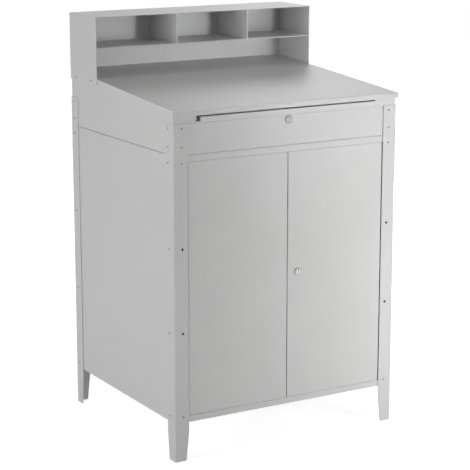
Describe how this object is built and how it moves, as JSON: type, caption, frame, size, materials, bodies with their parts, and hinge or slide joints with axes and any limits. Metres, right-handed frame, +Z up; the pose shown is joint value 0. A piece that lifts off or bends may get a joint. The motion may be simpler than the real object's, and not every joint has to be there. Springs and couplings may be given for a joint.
{
  "type": "standing shop desk",
  "caption": "Painted steel standing shop desk with a sloping top, a pigeonhole riser, a lockable drawer and a cabinet with hinged doors on tapered angle legs.",
  "frame": {"origin": "centre of the footprint on the floor", "axes": "+X to the user's right, +Y to the rear, +Z up"},
  "size_m": [0.8358, 0.7332, 1.367],
  "materials": {
    "grey_paint": "satin",
    "zinc_steel": "satin",
    "chrome": "gloss",
    "black_plastic": "matte"
  },
  "bodies": {
    "cabinet": {"leg_front_left": "grey_paint", "leg_front_right": "grey_paint", "leg_rear_left": "grey_paint", "leg_rear_right": "grey_paint", "lower_side_panel_left": "grey_paint", "lower_side_panel_right": "grey_paint", "upper_side_panel_left": "grey_paint", "upper_side_panel_right": "grey_paint", "lower_back_panel": "grey_paint", "upper_back_panel": "grey_paint", "floor_pan": "grey_paint", "cabinet_top_pan": "grey_paint", "front_rail": "grey_paint", "desk_top": "grey_paint", "riser_side_left": "grey_paint", "riser_side_right": "grey_paint", "riser_back": "grey_paint", "riser_top": "grey_paint", "riser_shelf": "grey_paint", "pigeonhole_divider_left": "grey_paint", "pigeonhole_divider_right": "grey_paint", "riser_screw_left_front": "grey_paint", "riser_screw_left_rear": "grey_paint", "riser_screw_right_front": "grey_paint", "riser_screw_right_rear": "grey_paint", "cabinet_shelf": "grey_paint", "shelf_clip_left_front": "zinc_steel", "shelf_clip_left_rear": "zinc_steel", "shelf_clip_right_front": "zinc_steel", "shelf_clip_right_rear": "zinc_steel", "drawer_runner_left": "zinc_steel", "drawer_runner_right": "zinc_steel", "drawer_strike": "zinc_steel", "door_catch_left": "black_plastic"},
    "drawer": {"drawer_front": "grey_paint", "drawer_side_left": "grey_paint", "drawer_side_right": "grey_paint", "drawer_floor": "grey_paint", "drawer_back": "grey_paint", "drawer_slide_bar_left": "zinc_steel", "drawer_slide_bar_right": "zinc_steel", "drawer_lock_body": "chrome", "drawer_lock_nut": "zinc_steel"},
    "left_door": {"door_left": "grey_paint", "door_stiffener_left": "grey_paint", "door_pin_left_lower": "zinc_steel", "door_pin_left_upper": "zinc_steel"},
    "right_door": {"door_right": "grey_paint", "door_stiffener_right": "grey_paint", "door_pin_right_lower": "zinc_steel", "door_pin_right_upper": "zinc_steel", "door_lock_body": "chrome", "door_lock_nut": "zinc_steel"},
    "drawer_lock": {"drawer_lock_plug": "chrome", "drawer_lock_cam": "zinc_steel"},
    "door_lock": {"door_lock_plug": "chrome", "door_lock_cam": "zinc_steel"}
  },
  "joints": [
    {"name": "drawer_slide", "type": "slide", "parent": "cabinet", "child": "drawer", "axis": [0, -1, 0], "range_m": [0, 0.4]},
    {"name": "left_door_hinge", "type": "hinge", "parent": "cabinet", "child": "left_door", "pos_m": [-0.3542, -0.34655, 0.55], "axis": [0, 0, -1], "range_deg": [0, 100]},
    {"name": "right_door_hinge", "type": "hinge", "parent": "cabinet", "child": "right_door", "pos_m": [0.3542, -0.34655, 0.55], "axis": [0, 0, 1], "range_deg": [0, 100]},
    {"name": "drawer_lock_turn", "type": "hinge", "parent": "drawer", "child": "drawer_lock", "pos_m": [0, -0.35455, 1.068], "axis": [0, -1, 0], "range_deg": [0, 90]},
    {"name": "door_lock_turn", "type": "hinge", "parent": "right_door", "child": "door_lock", "pos_m": [0.04, -0.35455, 0.568], "axis": [0, 1, 0], "range_deg": [0, 90]}
  ]
}
